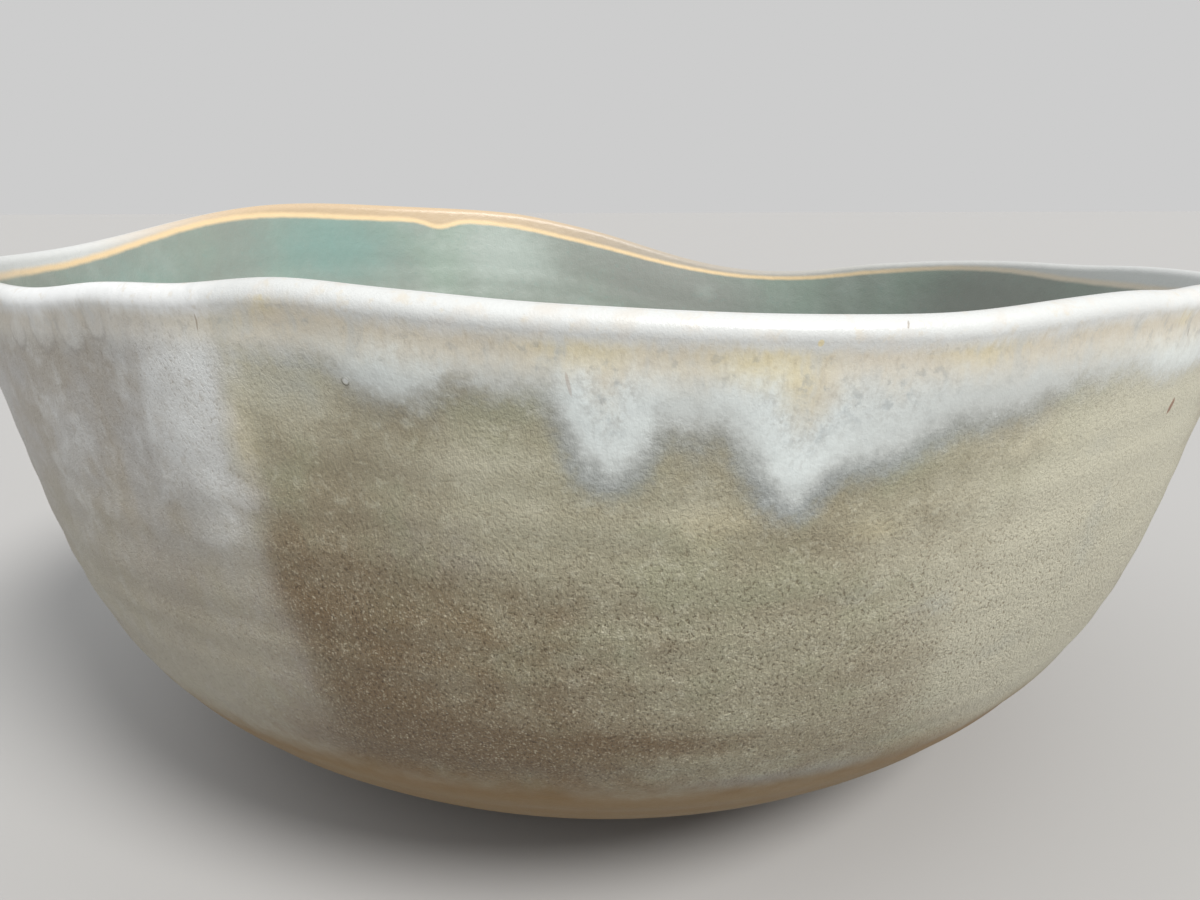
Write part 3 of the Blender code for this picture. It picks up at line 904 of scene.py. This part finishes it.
def add_marks(glaze, wall):
    """Single marks of the kiln and the hand, a painted shadow below the pimple, and short tongues of the dip
    with a thin dark edge.
    """
    for azimuth, drop, length, width, lean, colour, strength in MARKS:
        stroke = glaze.mark(azimuth, drop, length, width, lean)
        wall = glaze.mix(glaze.times(stroke, strength), wall, colour)
    for azimuth, drop, length, width in TONGUES:
        rim_ragged, middle_ragged = (glaze.swing("mottle", amount) for amount in TONGUE_RAGGED)
        rim = glaze.mark(azimuth, drop + TONGUE_RIM, length, width, ragged=rim_ragged)
        middle = glaze.mark(azimuth, drop, length, width - TONGUE_RIM, ragged=middle_ragged)
        rimmed = glaze.mix(glaze.times(rim, TONGUE_RIM_SHARE), wall, MARK_DARK)
        wall = glaze.mix(middle, rimmed, glaze.mix(TONGUE_SHARE, wall, DIP_PALE))
    return wall


def inside_glaze(glaze):
    """Celadon inside, with a cream lip and a honey line where the two meet, and painted shade on the far
    right of the inside and of the lip.
    """
    inside = glaze.layered(INSIDE_SAGE, INSIDE_LAYERS)
    warmth = glaze.source("lip_warmth")
    band = glaze.ragged("band", BAND_RAGGED)
    cream = glaze.mix(glaze.step(warmth, *LIP_WARMTH), LIP_WHITE, LIP_CREAM)
    # Painted shade: the cream lip is greyed on the far right.
    cream = glaze.mix(glaze.times(glaze.source("grey"), CREAM_GREY_SHARE), cream, DIP_GREY)
    cream = glaze.mix(glaze.times(glaze.source("lip_tan"), CREAM_TAN_SHARE), cream, DIP_WARM)
    honey_line = glaze.times(glaze.step(band, *HONEY_LINE), glaze.step(warmth, *HONEY_LINE_SIDE))
    cream = glaze.mix(honey_line, cream, LIP_HONEY)
    return glaze.mix(glaze.step(band, *INNER_BAND_EDGE), inside, cream)


def add_gloss(glaze, bare):
    """Satin glaze, and drier clay under the foot and on the band above it."""
    under = glaze.source("under")
    dry = glaze.math("MAXIMUM", under, glaze.times(bare, BARE_DRYNESS))
    rough = glaze.step(glaze.source("peel"), *ROUGHNESS)
    rough = glaze.plus(rough, glaze.swing("blotch", ROUGHNESS_SWING), glaze.times(dry, ROUGHNESS_DRY))
    glaze.feed(glaze.shader.inputs["Roughness"], rough)
    glaze.feed(glaze.shader.inputs["Specular IOR Level"], glaze.step(dry, *GLOSS))
    glaze.shader.inputs["IOR"].default_value = GLASS_IOR


def add_bump(glaze):
    """Orange-peel surface, strong on the lower body and faint where the glaze is thick, and one pimple."""
    fine = glaze.times(glaze.source("fine_peel"), glaze.source("peel"))
    coarse = glaze.times(glaze.source("coarse_peel"), COARSE_PEEL_HEIGHT)
    pimple = glaze.times(glaze.mark(*PIMPLE), PIMPLE_HEIGHT)
    bump = glaze.add("ShaderNodeBump")
    bump.inputs["Strength"].default_value = 1.0
    bump.inputs["Distance"].default_value = BUMP_DISTANCE * MM
    glaze.feed(bump.inputs["Height"], glaze.plus(fine, coarse, pimple))
    glaze.feed(glaze.shader.inputs["Normal"], bump.outputs["Normal"])


def glaze_material():
    """All glazes of the bowl, and the bare clay under it."""
    glaze = Glaze("sage_glaze_with_white_runs")
    dip_edge = glaze.ragged("dip", DIP_RAGGED)
    bare = glaze.step(glaze.ragged("drop", BARE_RAGGED), *BARE_DROPS)
    wall = add_dip(glaze, body_glaze(glaze), dip_edge)
    wall = add_foot_band(glaze, wall, bare)
    wall = add_runs(glaze, wall, dip_edge)
    wall = add_lip(glaze, wall)
    wall = add_marks(glaze, wall)
    colour = glaze.mix(glaze.step(glaze.source("drop"), *OUTSIDE), inside_glaze(glaze), wall)
    clay = glaze.mix(glaze.step(glaze.source("grain"), *CLAY_GRAIN), CLAY, BARE_TAN)
    colour = glaze.mix(glaze.source("under"), colour, clay)
    glaze.feed(glaze.shader.inputs["Base Color"], colour)
    add_gloss(glaze, bare)
    add_bump(glaze)
    return glaze.material


def make_bowl():
    bowl = bpy.data.objects.new("bowl_glazed", bowl_mesh())
    bpy.context.scene.collection.objects.link(bowl)
    bowl.data.materials.append(glaze_material())
    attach(bowl, "root")
    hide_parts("bowl")


def make_floor():
    bpy.ops.mesh.primitive_plane_add(size=FLOOR_SIZE, location=(0.0, 0.0, 0.0))
    floor = bpy.context.object
    floor.name = "floor"
    material = bpy.data.materials.new("plain_floor")
    material.use_nodes = True
    shader = material.node_tree.nodes["Principled BSDF"]
    shader.inputs["Base Color"].default_value = (*FLOOR_COLOUR, 1.0)
    shader.inputs["Roughness"].default_value = FLOOR_ROUGHNESS
    floor.data.materials.append(material)


def make_light():
    """Soft lamps far away, and an even pale room."""
    for name, azimuth, height, strength, spread, colour in LAMPS:
        data = bpy.data.lights.new(name, "SUN")
        data.energy = strength
        data.angle = math.radians(spread)
        data.color = colour
        lamp = bpy.data.objects.new(name, data)
        across, up = heading(height)
        towards = Vector((*(across * heading(azimuth)), up))
        lamp.location = towards
        lamp.rotation_euler = towards.to_track_quat("Z", "Y").to_euler()
        bpy.context.scene.collection.objects.link(lamp)
    world = bpy.data.worlds.new("studio")
    world.use_nodes = True
    world.node_tree.nodes["Background"].inputs["Color"].default_value = (*ROOM_COLOUR, 1.0)
    bpy.context.scene.world = world


def make_camera():
    data = bpy.data.cameras.new("camera")
    data.sensor_width = SENSOR
    data.lens = FOCAL_PIXELS / PHOTO_WIDTH * SENSOR
    data.clip_start = CAMERA_NEAREST * MM
    camera = bpy.data.objects.new("camera", data)
    camera.location = Vector(CAMERA_PLACE) * MM
    turn = Euler((math.radians(90.0 - CAMERA_PITCH), 0.0, math.radians(-CAMERA_YAW)), "XYZ").to_matrix()
    roll = Euler((0.0, 0.0, math.radians(CAMERA_ROLL)), "XYZ").to_matrix()
    camera.rotation_euler = (turn @ roll).to_euler()
    bpy.context.scene.collection.objects.link(camera)
    bpy.context.scene.camera = camera


make_camera()
make_bowl()
make_floor()
make_light()
bpy.context.scene.view_settings.view_transform = "Standard"
